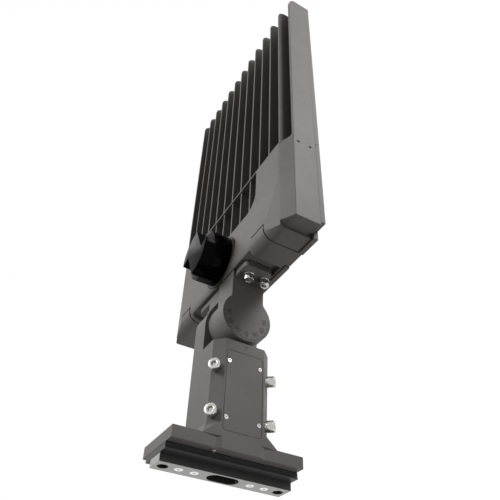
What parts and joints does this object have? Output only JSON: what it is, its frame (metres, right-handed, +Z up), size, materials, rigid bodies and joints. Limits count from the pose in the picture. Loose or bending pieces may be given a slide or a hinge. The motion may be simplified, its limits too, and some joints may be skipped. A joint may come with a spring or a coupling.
{
  "type": "shoebox area light",
  "caption": "Flat finned LED area light on a tilting pole arm, with a hinged driver door held by snap latches and a twist-lock shorting cap.",
  "frame": {"origin": "centre of the flat face that meets the pole, midway between the two pole bolt holes", "axes": "+X out from the pole along the arm to the tip of the level head, +Z up in use (fins and twist-lock cap above, lens below), -Y the side with the wiring cover"},
  "size_m": [0.776, 0.32, 0.1508],
  "materials": {
    "powder_coat": "fine-textured satin powder coat, dark warm grey",
    "dark_metal": "satin dark coat",
    "bar_metal": "bare, lightly brushed",
    "stainless": "bright",
    "dark_screws": "coated",
    "black_rubber": "matte",
    "clear_glass": "clear, smooth",
    "board_white": "solder-mask white",
    "led_yellow": "smooth",
    "driver_case": "satin",
    "black_plastic": "semi-gloss, moulded",
    "white_plastic": "moulded",
    "brass_metal": "plain"
  },
  "bodies": {
    "arm": {"pole_bar": "bar_metal", "bar_screws": "stainless", "adapter_rail": "dark_metal", "flange_gasket": "black_rubber", "arm_body": "powder_coat", "lock_screw": "stainless", "wiring_cover": "powder_coat", "cover_gasket": "black_rubber", "cover_screws": "dark_screws", "clamp_bolts": "stainless", "clamp_washers": "stainless", "knuckle_seal": "black_rubber"},
    "head": {"head_bracket": "powder_coat", "tilt_bolt": "stainless", "tilt_washer": "stainless", "bracket_bolts": "stainless", "bracket_washers": "stainless", "bracket_gasket": "black_rubber", "housing": "powder_coat", "lens_frame": "powder_coat", "lens": "clear_glass", "lens_gasket": "black_rubber", "frame_screws": "stainless", "led_boards": "board_white", "leds": "led_yellow", "board_screws": "stainless", "hinge_pins": "stainless", "latch_pins": "stainless", "led_driver": "driver_case", "driver_screws": "stainless", "surge_protector": "black_plastic", "terminal_block": "white_plastic", "block_screws": "stainless", "cap_receptacle": "black_plastic", "receptacle_gasket": "black_rubber", "receptacle_screws": "stainless"},
    "door": {"driver_door": "powder_coat", "door_gasket": "black_rubber"},
    "near_latch": {"latch_near": "powder_coat"},
    "far_latch": {"latch_far": "powder_coat"},
    "cap": {"shorting_cap": "black_plastic", "cap_blades": "brass_metal"}
  },
  "joints": [
    {"name": "head_tilt", "type": "hinge", "parent": "arm", "child": "head", "pos_m": [0.177, 0, 0], "axis": [0, 1, 0], "range_deg": [-90, 90]},
    {"name": "door_hinge", "type": "hinge", "parent": "head", "child": "door", "pos_m": [0.3836, 0, -0.027], "axis": [0, -1, 0], "range_deg": [0, 80]},
    {"name": "near_latch_hinge", "type": "hinge", "parent": "head", "child": "near_latch", "pos_m": [0.2484, -0.099, 0.01], "axis": [0, 1, 0], "range_deg": [0, 70]},
    {"name": "far_latch_hinge", "type": "hinge", "parent": "head", "child": "far_latch", "pos_m": [0.2484, 0.099, 0.01], "axis": [0, 1, 0], "range_deg": [0, 70]},
    {"name": "cap_twist", "type": "hinge", "parent": "head", "child": "cap", "pos_m": [0.278, 0, 0.0243], "axis": [0, 0, 1], "range_deg": [0, 30]}
  ]
}
